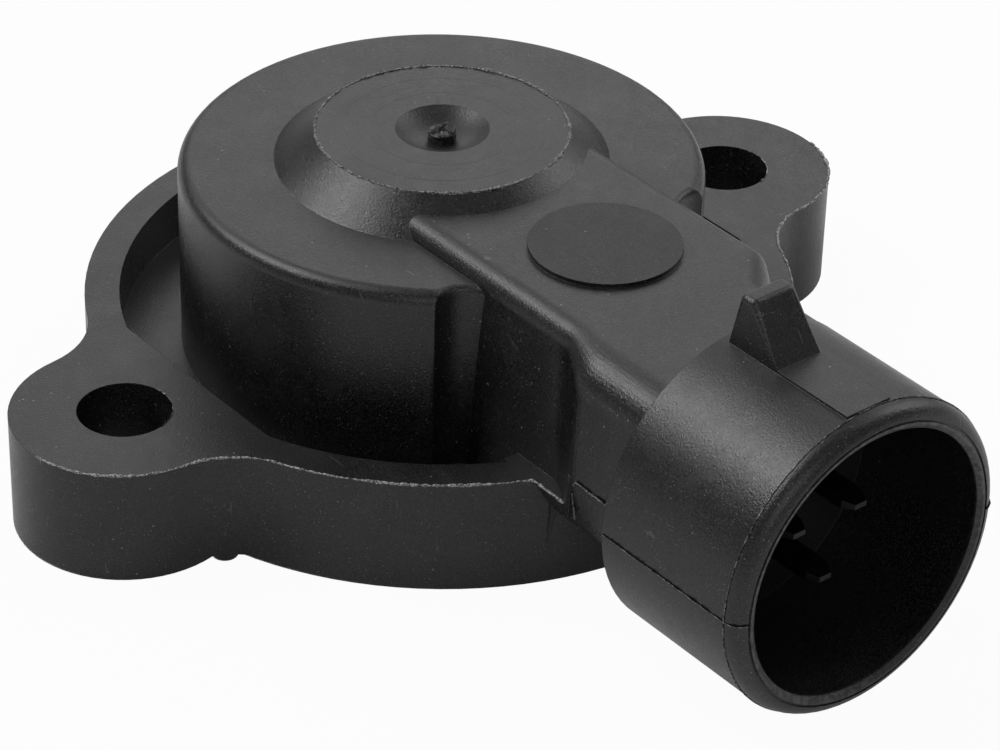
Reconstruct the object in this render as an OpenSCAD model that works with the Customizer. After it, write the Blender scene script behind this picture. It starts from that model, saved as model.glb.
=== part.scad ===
// Throttle position sensor with a round three-way connector.
// The origin is on the rotor's axis, in the plane that meets the throttle body. +Z points out
// through the cap, the two ears lie along X and the connector points along -Y.

/* [Flange] */
// Distance between the two screw holes
hole_spacing = 44; // [43:0.5:46]
// Diameter of a screw hole
hole_d = 5.3; // [4.4:0.1:5.8]
// Radius of the round body of the flange
flange_r = 20.5; // [20.2:0.1:21]
// Thickness of the flange
flange_h = 6.9; // [6.6:0.1:7.2]
// Radius of an ear's round end
ear_r = 6.4; // [6:0.1:7]
// Radius of the hollow corner between an ear and the body
web_r = 5; // [4:0.1:6]
// How far the webs beside the ears stay above the mounting plane
web_lift = 0.4; // [0.2:0.1:0.8]
// Radius of the ring pocket's outer wall
pocket_r = 18.5; // [18.2:0.1:18.8]
// Height of the ring pocket's floor
pocket_z = 3.9; // [3.7:0.1:4.2]
// Half the pocket's width from ear to ear
pocket_half_w = 17.2; // [17:0.1:17.5]

/* [Cap] */
// Outer radius of the cap
cap_r = 15; // [14.9:0.1:15.2]
// Height of the cap's flat top
cap_z = 15.4; // [15.2:0.1:15.8]
// Radius of the cap's rounded top edge
cap_edge_r = 0.8; // [0.6:0.1:1.1]
// Radius of the boss where it leaves the cap
boss_foot_r = 9.55; // [9.3:0.05:9.8]
// Radius of the boss at its top
boss_top_r = 7.25; // [7:0.05:7.5]
// Height of the boss above the cap
boss_h = 1.8; // [1.6:0.1:2]
// Radius of the round dimple around the gate mark
dimple_r = 2.7; // [2.2:0.1:3]
// Depth of the dimple
dimple_depth = 0.8; // [0.5:0.1:1]
// Radius of the gate stub in the dimple
gate_r = 0.8; // [0.6:0.1:1]

/* [Neck] */
// Half the width of the neck
neck_half_w = 7.3; // [7.1:0.1:7.5]
// Draft angle of the neck's sides
neck_draft = 2; // [1:0.5:3]
// Height of the neck's flat top
neck_z = 16.4; // [16.2:0.1:16.6]
// Radius along the neck's top edges beside the cap
neck_edge_r = 1.25; // [0.9:0.05:1.5]
// Radius along the neck's top edges beside the tube
neck_front_r = 2.45; // [2.4:0.05:2.7]
// How far the connector lies off the rotor's axis
connector_shift = 1.4; // [1:0.1:1.6]
// Distance from the rotor's axis to the start of the neck's side step
step_start = 19.1; // [18.8:0.1:19.2]
// Length of the side step
step_length = 3.5; // [3.2:0.1:3.6]
// Radius of the upright hollow in the corner between the neck and the cap
relief_r = 1.9; // [1.7:0.1:2]
// Distance from the rotor's axis, along the neck, to the middle of the hollow
relief_y = 13.35; // [13.2:0.05:13.5]
// Radius of the round pad on the neck
pad_r = 4.25; // [4:0.05:4.5]
// Distance from the rotor's axis to the pad's centre
pad_y = 14.35; // [14:0.05:14.6]
// Height of the pad above the neck
pad_h = 0.25; // [0.2:0.05:0.5]

/* [Connector] */
// Outer radius of the connector's tube
tube_r = 9.15; // [9:0.05:9.3]
// Distance from the rotor's axis to the tube's back
tube_back = 27; // [26.8:0.1:27.4]
// Distance from the rotor's axis to the tube's mouth
tube_front = 37.5; // [37:0.1:38]
// Radius of the tube's rounded rim
rim_r = 1; // [0.6:0.1:1.1]
// Radius of the socket at the mouth
socket_r = 7.8; // [7.7:0.05:7.9]
// Radius of the socket at its floor
socket_floor_r = 7.55; // [7.4:0.05:7.6]
// Distance from the rotor's axis to the socket's floor
socket_floor = 29; // [28.8:0.1:29.4]
// Width of the latch ramp and of the flat land in front of it
latch_w = 2.95; // [2.6:0.05:3.2]
// Height of the latch ramp's top
latch_z = 21.4; // [21:0.1:21.8]
// Length of the ramp's foot along the tube
latch_length = 3.7; // [3.5:0.1:4]
// Radius of the ramp's top edges
latch_edge_r = 0.4; // [0.3:0.05:0.5]
// How far the flat land stands proud of the tube
land_h = 0.03; // [0.03:0.01:0.08]

/* [Terminals] */
// Half the distance between the two upper blades
blade_side = 2.15; // [2:0.05:2.4]
// Height of the two upper blades above the socket's axis
blade_up = 1.1; // [0.9:0.1:1.4]
// Depth of the lower blade below the socket's axis
blade_down = 2.6; // [2.4:0.1:2.8]
// Width of a blade
blade_w = 1.5; // [1.4:0.05:1.6]
// Thickness of the terminal strip
strip_t = 0.64; // [0.5:0.02:0.7]
// Length of a blade in front of the socket's floor
blade_length = 5.4; // [5:0.1:6.5]
// Angle between neighbouring contact pads on the bore
pad_angle = 12; // [11.5:0.5:12.5]

/* [Inside of the housing] */
// Radius of the bore that holds the film
bore_r = 12.6; // [12.5:0.05:12.7]
// Height of the bore's closed end
bore_z = 12.8; // [12.7:0.05:12.9]
// Width of the ledge around the bore that the rear cover rests on
seat_ledge = 1.4; // [1.3:0.05:1.5]
// Depth of the seat from the mounting plane
seat_z = 3.4; // [3.3:0.05:3.5]
// Radius of the blind hole that guides the rotor's nose
guide_r = 4.2; // [4:0.1:4.4]
// Height of the blind hole's end
guide_z = 14.9; // [14.8:0.05:15]
// Wall between the rear cover's seat and the mounting seal
seal_wall = 1.95; // [1.9:0.05:2.1]
// Width of the mounting seal's section
ring_w = 1.9; // [1.7:0.05:2]
// Height of the mounting seal's section
ring_h = 1.8; // [1.6:0.05:1.9]

/* [Rotor] */
// Radius of the hub that the shaft seal runs on
hub_r = 5.6; // [5.5:0.05:5.7]
// Radius of the hole for the throttle shaft
shaft_r = 4; // [3.9:0.05:4.1]
// Distance from the axis to the flat of the shaft hole
shaft_flat = 2.8; // [2.6:0.1:3]
// Depth of the shaft hole
shaft_depth = 9.6; // [8.5:0.1:10]
// Room between the disc and the bore
disc_room = 1.3; // [1.2:0.05:1.4]
// Room between the drum and the bore
drum_room = 2.4; // [2.3:0.05:2.45]
// Thickness of the drum's wall
drum_t = 1.3; // [1.2:0.05:1.4]
// Angle that the drum's wall spans
drum_angle = 214; // [212:1:214]
// Direction of the drum's middle with the throttle closed
rest_angle = 35; // [35:1:36]

/* [Clearances] */
// Radial play of the rotor's nose in the housing
nose_play = 0.08; // [0.05:0.01:0.1]
// Radial play of the hub in the shaft seal
lip_play = 0.05; // [0.03:0.01:0.1]
// Gap between the wiper tips and the film
wiper_gap = 0.06; // [0.04:0.01:0.1]
// Play between fixed pieces that slip together
fit_play = 0.1; // [0.05:0.05:0.15]

/* [Hidden] */
$fn = 96;

plastic = [0.09, 0.09, 0.095];
tin = [0.72, 0.71, 0.68];

// Connector
tube_z = tube_r;
tube_x = -connector_shift;
tube_crown = tube_z + tube_r;
blade_x = [tube_x - blade_side, tube_x, tube_x + blade_side];
blade_z = [tube_z + blade_up, tube_z - blade_down, tube_z + blade_up];

parting_z = tube_z - 0.15;
// Where the neck's side steps up from the flange to the parting line
foot_end = 22.2;

// Radii that follow the bore
seat_r = bore_r + seat_ledge;
ring_r = seat_r + seal_wall + ring_w / 2;
disc_r = bore_r - disc_room;
drum_r = bore_r - drum_room;
drum_in_r = drum_r - drum_t;

// Pieces against the bore
film_t = 0.25;
film_in_r = bore_r - film_t;
film_z = 5.9;
film_h = 6.6;
front = 270;
film_start = front - 17;
film_angle = 302;
rib_in_r = drum_in_r;
rib_r = drum_r - 0.1;
rib_half = 16;
rib_z = 7;
wedge_half = 15;
pads_z = tube_z - blade_down - strip_t / 2;
pads_top = tube_z + blade_up + strip_t / 2 + 0.4;

// Rear cover and what is in it
cover_r = seat_r - fit_play;
cover_z = 1.4;
gasket_t = 0.4;
cover_top = seat_z - gasket_t;
well_r = hub_r + 3;
well_z = 2.5;
lip_r = hub_r + lip_play;
vent_r = 1.5;
vent_place = (well_r + 1.5 + cover_r) / 2 - 0.2;
vent_angle = 45;
stakes = 8;
stake_angle = 9;

// Rotor
disc_z = 5;
disc_h = 1.6;
disc_top = disc_z + disc_h;
drum_z = 12.2;
core_r = 5.4;
core_z = 12;
nose_z = guide_z - 0.2;
hub_z = 0.5;
clip_w = 3.6;
clip_t = 0.25;
clip_pocket = 0.9;

// Wiper contacts
plate_t = 0.28;
plate_half = 9;
plate_z = 7.1;
plate_h = 4.8;
finger_t = 0.22;
finger_h = 0.9;
finger_z = [7.1, 8.3, 9.8, 11];
tip_r = 0.4;
rivet_r = 0.45;
rivet_z = [8.15, 10.85];

// The side step of the neck: how far along it a distance lies, from 0 to 1, with eased ends
function along(y) = min(1, max(0, (y - step_start) / step_length));
function ease(t) = let (e = 0.3, k = 2 * e * (1 - e))
    t < e ? t * t / k : t > 1 - e ? 1 - (1 - t) * (1 - t) / k : (t - e / 2) / (1 - e);
function middle(y) = -connector_shift * ease(along(y));
function edge_r(y) = neck_edge_r + (neck_front_r - neck_edge_r) * ease(along(y));

// Outline of the neck's section, from one foot over the top to the other
function foot(y) = y <= step_start ? 2 : y <= foot_end ? flange_h - 0.4 : parting_z;
function draft(z) = (z - tube_z) * tan(neck_draft);
function neck_arc(side, r, flip) = [for (i = [0:16]) let (a = (flip ? 16 - i : i) * 90 / 16)
    [side * (neck_half_w - draft(neck_z) - r + r * cos(a)), neck_z - r + r * sin(a)]];
function neck_outline(foot, r) = concat([[-neck_half_w + draft(foot), foot]], neck_arc(-1, r, false),
    neck_arc(1, r, true), [[neck_half_w - draft(foot), foot]]);

// A ring piece of rectangular section between two angles
module ring_piece(inner, outer, low, high, from, span) {
    rotate([0, 0, from]) rotate_extrude(angle = span) translate([inner, low])
        square([outer - inner, high - low]);
}

module ring(inner, outer, low, high) {
    translate([0, 0, low]) difference() {
        cylinder(r = outer, h = high - low);
        translate([0, 0, -1]) cylinder(r = inner, h = high - low + 2);
    }
}

// Places children with +Z turned to the connector's mouth, on the tube's axis
module on_tube_axis(y) {
    translate([tube_x, -y, tube_z]) rotate([90, 0, 0]) children();
}

// Centre of the hollow corner between an ear and the body
function web_centre() = let (a = flange_r + web_r, b = ear_r + web_r, c = hole_spacing / 2,
    x = (c * c + a * a - b * b) / (2 * c)) [x, sqrt(a * a - x * x)];

module web_plan(side) {
    c = web_centre();
    body = c * flange_r / norm(c);
    ear = [hole_spacing / 2, 0] + (c - [hole_spacing / 2, 0]) * ear_r / (ear_r + web_r);
    difference() {
        polygon([for (p = [[0, 0], body, c, ear, [hole_spacing / 2, 0],
            [ear[0], -ear[1]], [c[0], -c[1]], [body[0], -body[1]]]) [p[0] * side, p[1]]]);
        for (up = [-1, 1]) translate([side * c[0], up * c[1]]) circle(web_r);
    }
}

module flange() {
    cylinder(r = flange_r, h = flange_h, $fn = 180);
    for (side = [-1, 1]) {
        translate([side * hole_spacing / 2, 0, 0]) cylinder(r = ear_r, h = flange_h);
        translate([0, 0, web_lift]) linear_extrude(flange_h - web_lift) web_plan(side);
    }
    // Small nub under the front left web
    rotate([0, 0, 197.8]) translate([flange_r + 0.45, 0, 0]) cylinder(r = 0.75, h = web_lift + 0.3);
}

// Ring pocket around the cap
module pocket() {
    intersection() {
        ring(cap_r - 0.5, pocket_r, pocket_z, flange_h + 1);
        translate([-pocket_half_w, -flange_r, 0]) cube([2 * pocket_half_w, 2 * flange_r, flange_h + 2]);
    }
}

module cap() {
    x = cap_r - cap_edge_r;
    z = cap_z - cap_edge_r;
    rotate_extrude($fn = 180) {
        polygon([[0, 0], [cap_r, 0], [cap_r, z], [x, z], [x, cap_z], [boss_foot_r, cap_z],
            [boss_top_r, cap_z + boss_h], [0, cap_z + boss_h]]);
        translate([x, z]) intersection() {
            circle(cap_edge_r);
            square(cap_edge_r * 2);
        }
    }
}

module dimple() {
    ball = (dimple_r * dimple_r + dimple_depth * dimple_depth) / (2 * dimple_depth);
    translate([0, 0, cap_z + boss_h - dimple_depth + ball]) sphere(ball);
}

// Upper half of the neck, swept from the boss to the connector
module neck_upper() {
    bend = [for (i = [0:12]) step_start + step_length * i / 12];
    stops = concat([3], [for (y = bend) if (y < foot_end - 0.05) y], [foot_end, foot_end + 0.05],
        [for (y = bend) if (y > foot_end + 0.1) y], [tube_back + 0.6]);
    rows = [for (y = stops) [for (p = neck_outline(foot(y), edge_r(y))) [p[0] + middle(y), -y, p[1]]]];
    n = len(rows[0]);
    polyhedron(
        points = [for (row = rows) for (p = row) p],
        faces = concat(
            [[for (i = [n - 1:-1:0]) i]],
            [for (k = [0:len(rows) - 2]) for (i = [0:n - 1]) let (j = (i + 1) % n)
                each [[k * n + i, (k + 1) * n + j, (k + 1) * n + i], [k * n + i, k * n + j, (k + 1) * n + j]]],
            [[for (i = [0:n - 1]) (len(rows) - 1) * n + i]]));
}

// Lower half of the neck, which is round like the tube
module neck_lower() {
    intersection() {
        on_tube_axis(16.2) cylinder(r = neck_half_w - 0.08, h = tube_back + 0.5 - 16.2);
        union() {
            translate([-20, -foot_end, 0]) cube([40, foot_end, flange_h]);
            translate([-20, -tube_back - 1, 0]) cube([40, tube_back + 1.3 - foot_end, tube_z]);
        }
    }
}

// Upright hollow in the corner between the cap's wall and the neck's side
module relief(side) {
    edge = cap_edge_r / 2;
    x = neck_half_w - draft(cap_z) + 0.93 * relief_r;
    translate([side * x, -relief_y, pocket_z + 0.02]) rotate_extrude() {
        square([relief_r, cap_z]);
        translate([0, cap_z - pocket_z - 0.02 - edge]) difference() {
            square([relief_r + edge, edge + 1]);
            translate([relief_r + edge, 0]) circle(edge);
        }
    }
}

module tube() {
    length = tube_front - tube_back;
    on_tube_axis(tube_back) rotate_extrude($fn = 144) {
        square([tube_r, length - rim_r]);
        square([tube_r - rim_r, length]);
        translate([tube_r - rim_r, length - rim_r]) intersection() {
            circle(rim_r);
            square(rim_r * 2);
        }
    }
}

// The socket, with a draft, a small chamfer at its mouth and a fine groove in the rim
module socket() {
    depth = tube_front - socket_floor;
    on_tube_axis(socket_floor) rotate_extrude($fn = 144) {
        polygon([[0, 0], [socket_floor_r, 0], [socket_r, depth - 0.2], [socket_r + 0.25, depth], [socket_r + 0.25, depth + 1],
            [0, depth + 1]]);
        translate([socket_r + 0.42, depth - 0.12]) square([0.14, 1]);
    }
}

module latch() {
    back = tube_back + 0.55;
    lean = 0.45;
    top_length = 1.3;
    inset = latch_edge_r;
    translate([tube_x, 0, 0]) {
        hull() {
            translate([-latch_w / 2, -back - latch_length, tube_crown - 1.2]) cube([latch_w, latch_length, 1.2]);
            for (side = [-1, 1]) for (y = [back + lean + inset, back + lean + top_length - inset])
                translate([side * (latch_w / 2 - inset), -y, latch_z - inset]) sphere(inset, $fn = 24);
        }
        translate([-latch_w / 2, -tube_front + rim_r + 0.1, tube_crown - 1.2])
            cube([latch_w, tube_front - rim_r - 0.1 - back - 1, 1.2 + land_h]);
    }
}

// Arc rib on the bore's ceiling that backs the wedge and stops the rotor
module stop_rib() {
    ring_piece(rib_in_r, rib_r, rib_z, bore_z + 0.5, front - rib_half, 2 * rib_half);
}

module housing() {
    color(plastic) {
        difference() {
            union() {
                difference() {
                    union() {
                        difference() {
                            flange();
                            pocket();
                        }
                        cap();
                    }
                    relief(-1);
                    relief(1);
                }
                neck_upper();
                neck_lower();
                tube();
                latch();
                translate([0, -pad_y, neck_z - 0.5]) cylinder(r = pad_r, h = 0.5 + pad_h);
            }
            dimple();
            for (side = [-1, 1]) translate([side * hole_spacing / 2, 0, -1]) cylinder(d = hole_d, h = flange_h + 2);
            translate([0, 0, -1]) cylinder(r = seat_r, h = seat_z + 1);
            translate([0, 0, seat_z - 1]) cylinder(r = bore_r, h = bore_z - seat_z + 1);
            translate([0, 0, bore_z - 1]) cylinder(r = guide_r, h = guide_z - bore_z + 1);
            ring(ring_r - ring_w / 2 - fit_play, ring_r + ring_w / 2 + fit_play, -1, ring_h);
            socket();
            for (k = [0:2]) terminal(k);
        }
        stop_rib();
        translate([0, 0, cap_z + boss_h - dimple_depth - 0.3]) cylinder(r = gate_r, h = 0.9);
        for (k = [0:stakes - 1])
            ring_piece(seat_r - 0.7, seat_r + 0.3, cover_z - 0.5, cover_z, 360 / stakes * k + 18, stake_angle);
    }
}

// One terminal: a blade in the socket, a strip through the neck and a pad on the bore
module terminal(k) {
    a = front + (k - 1) * pad_angle;
    x = bore_r * cos(a);
    y = bore_r * sin(a) - strip_t / 2;
    tip = socket_floor + blade_length;
    half = blade_w / 2;
    point = 0.35;
    intersection() {
        translate([0, 0, blade_z[k] - strip_t / 2]) linear_extrude(strip_t) polygon([
            [x - half, y], [x - half, -16], [blade_x[k] - half, -22], [blade_x[k] - half, -tip + 2 * point],
            [blade_x[k] - half + point, -tip], [blade_x[k] + half - point, -tip],
            [blade_x[k] + half, -tip + 2 * point], [blade_x[k] + half, -22], [x + half, -16], [x + half, y]]);
        // The blade's end thins above and below
        translate([-10, 0, blade_z[k]]) rotate([90, 0, 90]) linear_extrude(20) polygon([
            [0, -strip_t], [0, strip_t], [-tip + 4 * point, strip_t / 2 + 0.01], [-tip - 0.01, strip_t / 4],
            [-tip - 0.01, -strip_t / 4], [-tip + 4 * point, -strip_t / 2 - 0.01]]);
    }
    ring_piece(bore_r, bore_r + strip_t, pads_z, pads_top, a - 4.5, 9);
}

module terminal_a() { color(tin) terminal(0); }
module terminal_b() { color(tin) terminal(1); }
module terminal_c() { color(tin) terminal(2); }

module resistor_film() {
    color([0.42, 0.26, 0.1]) ring_piece(film_in_r, bore_r - 0.02, film_z, film_z + film_h, film_start, film_angle);
}

// Wedge that presses the film's tail on to the pads
module film_wedge() {
    color([0.75, 0.72, 0.62]) rotate([0, 0, front - wedge_half]) rotate_extrude(angle = 2 * wedge_half)
        polygon([[rib_r + 0.03, rib_z], [film_in_r - 0.03, rib_z], [film_in_r - 0.03, bore_z - 0.8],
            [film_in_r - 0.4, bore_z - 0.4], [rib_r + 0.03, bore_z - 0.4]]);
}

module cover_gasket() {
    color([0.12, 0.12, 0.13]) ring(bore_r + 0.1, cover_r, cover_top, seat_z);
}

module rear_cover() {
    color([0.13, 0.13, 0.14]) difference() {
        rotate_extrude($fn = 144) polygon([
            [hub_r + 0.6, well_z], [well_r, well_z], [well_r, 0.6], [well_r + 1.2, 0.6], [well_r + 1.5, cover_z],
            [cover_r, cover_z], [cover_r, cover_top], [8.8, cover_top], [8.8, disc_z - 0.2], [7.2, disc_z - 0.2],
            [7.2, cover_top], [hub_r + 0.6, cover_top]]);
        rotate([0, 0, vent_angle]) translate([vent_place, 0, 0]) {
            cylinder(r = vent_r + 0.05, h = cover_z + 0.8);
            cylinder(r = 0.4, h = 5);
        }
    }
}

module rotor_seal() {
    color([0.3, 0.1, 0.08]) rotate_extrude($fn = 144) polygon([
        [hub_r + 0.75, well_z], [well_r - 0.03, well_z], [well_r - 0.03, 0.75], [well_r - 1.1, 0.75],
        [well_r - 1.3, 1.6], [hub_r + 0.95, 1.75], [hub_r + 0.4, 0.95], [lip_r, 1.1], [lip_r, 1.5],
        [hub_r + 0.35, 1.95]]);
}

module vent_filter() {
    color([0.85, 0.85, 0.82]) rotate([0, 0, vent_angle]) translate([vent_place, 0, cover_z + 0.1])
        cylinder(r = vent_r, h = 0.7);
}

// Mounting seal of rounded square section
module mounting_seal() {
    corner = 0.5;
    half = ring_w / 2;
    color([0.08, 0.08, 0.08]) rotate_extrude($fn = 180) translate([ring_r - half, 0]) {
        translate([corner, 0]) square([ring_w - 2 * corner, ring_h]);
        translate([0, corner]) square([ring_w, ring_h - 2 * corner]);
        for (x = [corner, ring_w - corner]) for (y = [corner, ring_h - corner])
            translate([x, y]) circle(corner, $fn = 32);
    }
}

// Plan of the shaft hole, a circle with one flat
module shaft_hole() {
    intersection() {
        cylinder(r = shaft_r, h = shaft_depth);
        translate([-shaft_r - 1, -shaft_r - 1, -1])
            cube([shaft_r + 1 + shaft_flat, 2 * shaft_r + 2, shaft_depth + 2]);
    }
}

module rotor() {
    color([0.8, 0.78, 0.7]) rotate([0, 0, rest_angle]) {
        difference() {
            union() {
                translate([0, 0, hub_z]) cylinder(r = hub_r, h = disc_z - hub_z + 0.5);
                translate([0, 0, disc_z]) cylinder(r = disc_r, h = disc_h);
                translate([0, 0, disc_top - 0.5]) cylinder(r = core_r, h = core_z - disc_top + 0.5);
                translate([0, 0, core_z - 0.5]) cylinder(r = guide_r - nose_play, h = nose_z - core_z + 0.5);
                ring_piece(drum_in_r, drum_r, disc_top - 0.5, drum_z, -drum_angle / 2, drum_angle);
                for (z = rivet_z) translate([drum_r - 0.5, 0, z]) rotate([0, 90, 0])
                    cylinder(r = rivet_r, h = 0.5 + plate_t + 0.15, $fn = 32);
            }
            translate([0, 0, hub_z - 0.01]) shaft_hole();
            // Pocket for the leaf clip beside the flat
            translate([shaft_flat - 1, -clip_w / 2 - 0.1, hub_z + 1])
                cube([1 + clip_pocket, clip_w + 0.2, shaft_depth - 2]);
        }
    }
}

module contactor() {
    color([0.83, 0.75, 0.5]) rotate([0, 0, rest_angle]) {
        difference() {
            ring_piece(drum_r + 0.02, drum_r + plate_t, plate_z, plate_z + plate_h, -plate_half, 2 * plate_half);
            for (z = rivet_z) translate([drum_r - 1, 0, z]) rotate([0, 90, 0])
                cylinder(r = rivet_r + 0.03, h = 3, $fn = 32);
        }
        for (z = finger_z) finger(z);
    }
}

// A straight spring finger from the plate's end to a round tip on the film
module finger(z) {
    root = drum_r + plate_t - finger_t - 0.03;
    reach = film_in_r - wiper_gap - tip_r;
    length = sqrt(reach * reach - pow(root + finger_t / 2, 2));
    rotate([0, 0, plate_half - 1]) translate([0, 0, z]) {
        translate([root, 0, 0]) cube([finger_t, length, finger_h]);
        translate([root + finger_t / 2, length, 0]) cylinder(r = tip_r, h = finger_h, $fn = 32);
    }
}

// Leaf clip that takes up the play of the shaft's flat
module shaft_clip() {
    wall = shaft_flat + clip_pocket;
    low = hub_z + 1.2;
    high = hub_z + shaft_depth - 1.4;
    color([0.6, 0.6, 0.62]) rotate([0, 0, rest_angle]) translate([0, clip_w / 2, 0]) rotate([90, 0, 0])
        linear_extrude(clip_w) polygon([
            [wall, low], [wall, high], [wall - clip_t, high], [wall - clip_t, low + 0.5],
            [shaft_flat + 0.05, low + 2.6], [shaft_flat + 0.05, low + 3.4], [wall - clip_t - 0.25, high - 0.8],
            [wall - clip_t - 0.45, high - 0.9], [shaft_flat - 0.2, low + 3.5], [shaft_flat - 0.2, low + 2.5],
            [wall - clip_t, low]]);
}

housing();
terminal_a();
terminal_b();
terminal_c();
resistor_film();
film_wedge();
cover_gasket();
rear_cover();
rotor_seal();
vent_filter();
mounting_seal();
rotor();
contactor();
shaft_clip();
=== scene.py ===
"""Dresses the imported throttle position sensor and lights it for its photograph's view.

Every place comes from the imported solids, in metres: the rotor's axis is Z, the ears lie along X and
the plug socket opens towards -Y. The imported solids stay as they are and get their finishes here, and
the marks that moulding leaves, such as flash and the gate's broken stub, are pieces of their own.
"""

from __future__ import annotations

import logging
import math
from dataclasses import dataclass
from enum import Enum

import bmesh
import bpy
from mathutils import Matrix, Vector, noise


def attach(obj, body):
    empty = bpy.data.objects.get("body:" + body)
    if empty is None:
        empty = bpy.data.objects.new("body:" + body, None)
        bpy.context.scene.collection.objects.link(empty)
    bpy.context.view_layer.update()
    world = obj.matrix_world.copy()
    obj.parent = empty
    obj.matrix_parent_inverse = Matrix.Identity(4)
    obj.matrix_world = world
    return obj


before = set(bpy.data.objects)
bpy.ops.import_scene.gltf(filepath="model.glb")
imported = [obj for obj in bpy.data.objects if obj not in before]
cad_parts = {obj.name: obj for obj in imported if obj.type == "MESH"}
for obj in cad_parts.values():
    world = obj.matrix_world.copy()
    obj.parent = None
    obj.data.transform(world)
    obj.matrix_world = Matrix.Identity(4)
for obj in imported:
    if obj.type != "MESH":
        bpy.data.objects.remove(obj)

log = logging.getLogger("sensor")
MM = 0.001


class Body(str, Enum):
    """The rigid bodies that pieces ride on."""

    SENSOR = "sensor"
    ROTOR = "rotor"


class Net:
    """A new material's node tree, with one short call for each kind of node."""

    def __init__(self, name: str) -> None:
        """Starts a material.

        Args:
            name: the material's name.
        """
        self.material = bpy.data.materials.new(name)
        self.material.use_nodes = True
        self.nodes = self.material.node_tree.nodes
        self.links = self.material.node_tree.links
        self.shader = self.nodes["Principled BSDF"]
        facing = self.nodes.new("ShaderNodeSeparateXYZ")
        source = self.nodes.new("ShaderNodeTexCoord")
        self.place = source.outputs["Object"]
        self.links.new(source.outputs["Normal"], facing.inputs[0])
        self.level = facing.outputs[2]

    def feed(self, socket: bpy.types.NodeSocket, value: object) -> None:
        """Links a socket to another one, or sets its value."""
        if isinstance(value, bpy.types.NodeSocket):
            self.links.new(value, socket)
        elif value is not None:
            socket.default_value = value

    def sum(
        self, kind: str, a: object, b: object = None, c: object = None, clamp: bool = False
    ) -> bpy.types.NodeSocket:
        """Adds a Math node.

        Args:
            kind: the operation, such as MULTIPLY.
            a: the first input, a socket or a number.
            b: the second input.
            c: the third input.
            clamp: keeps the result from 0 to 1.

        Returns:
            The result's socket.
        """
        node = self.nodes.new("ShaderNodeMath")
        node.operation = kind
        node.use_clamp = clamp
        for socket, value in zip(node.inputs, (a, b, c), strict=False):
            self.feed(socket, value)
        return node.outputs[0]

    def grain(
        self, scale: float, detail: float = 3.0, rough: float = 0.55, stretch: tuple = (1.0, 1.0, 1.0)
    ) -> bpy.types.NodeSocket:
        """Adds a noise pattern in the piece's own space.

        Args:
            scale: patterns to a millimetre.
            detail: octaves.
            rough: weight of the finer octaves.
            stretch: scale along each axis.

        Returns:
            A value about 0.5.
        """
        mapping = self.nodes.new("ShaderNodeMapping")
        mapping.inputs["Scale"].default_value = [s * scale / MM for s in stretch]
        self.feed(mapping.inputs["Vector"], self.place)
        node = self.nodes.new("ShaderNodeTexNoise")
        node.inputs["Scale"].default_value = 1.0
        node.inputs["Detail"].default_value = detail
        node.inputs["Roughness"].default_value = rough
        self.feed(node.inputs["Vector"], mapping.outputs[0])
        return node.outputs["Fac"]

    def specks(self, scale: float, size: float) -> bpy.types.NodeSocket:
        """Adds sparse round specks.

        Args:
            scale: cells to a millimetre.
            size: a speck's radius as a share of its cell.

        Returns:
            1 in a speck and 0 elsewhere.
        """
        mapping = self.nodes.new("ShaderNodeMapping")
        mapping.inputs["Scale"].default_value = [scale / MM] * 3
        self.feed(mapping.inputs["Vector"], self.place)
        node = self.nodes.new("ShaderNodeTexVoronoi")
        node.inputs["Scale"].default_value = 1.0
        self.feed(node.inputs["Vector"], mapping.outputs[0])
        return self.step(node.outputs["Distance"], size, size * 0.6)

    def step(self, value: object, low: float, high: float) -> bpy.types.NodeSocket:
        """Adds a smooth step.

        Args:
            value: what is tested.
            low: where the result is 0.
            high: where the result is 1.

        Returns:
            A value from 0 to 1.
        """
        node = self.nodes.new("ShaderNodeMapRange")
        node.interpolation_type = "SMOOTHSTEP"
        flip = low > high
        self.feed(node.inputs["Value"], value)
        node.inputs["From Min"].default_value = high if flip else low
        node.inputs["From Max"].default_value = low if flip else high
        node.inputs["To Min"].default_value = 1.0 if flip else 0.0
        node.inputs["To Max"].default_value = 0.0 if flip else 1.0
        return node.outputs["Result"]

    def blend(self, share: object, first: object, second: object) -> bpy.types.NodeSocket:
        """Mixes two colours.

        Args:
            share: the second colour's share.
            first: a colour or its socket.
            second: a colour or its socket.

        Returns:
            The colour's socket.
        """
        node = self.nodes.new("ShaderNodeMix")
        node.data_type = "RGBA"
        for key, value in (("Factor_Float", share), ("A_Color", first), ("B_Color", second)):
            socket = next(s for s in node.inputs if s.identifier == key)
            self.feed(socket, (*value, 1.0) if isinstance(value, tuple) else value)
        return next(s for s in node.outputs if s.identifier == "Result_Color")

    def bump(self, height: object, depth: float, under: object = None) -> bpy.types.NodeSocket:
        """Adds a bump.

        Args:
            height: the height's socket, from 0 to 1.
            depth: what 1 stands for, in millimetres.
            under: a normal that this one goes over.

        Returns:
            The normal's socket.
        """
        node = self.nodes.new("ShaderNodeBump")
        node.inputs["Strength"].default_value = 1.0
        node.inputs["Distance"].default_value = depth * MM
        self.feed(node.inputs["Height"], height)
        self.feed(node.inputs["Normal"], under)
        return node.outputs["Normal"]

    def soft_edges(self, radius: float) -> bpy.types.NodeSocket:
        """Adds a normal that rounds sharp edges.

        Args:
            radius: the rounding, in millimetres.

        Returns:
            The normal's socket.
        """
        node = self.nodes.new("ShaderNodeBevel")
        node.samples = 6
        node.inputs["Radius"].default_value = radius * MM
        return node.outputs["Normal"]

    def axes(self) -> tuple:
        """The place's x, y and z sockets, in millimetres."""
        node = self.nodes.new("ShaderNodeSeparateXYZ")
        self.feed(node.inputs[0], self.place)
        return tuple(self.sum("DIVIDE", s, MM) for s in node.outputs)

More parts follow.
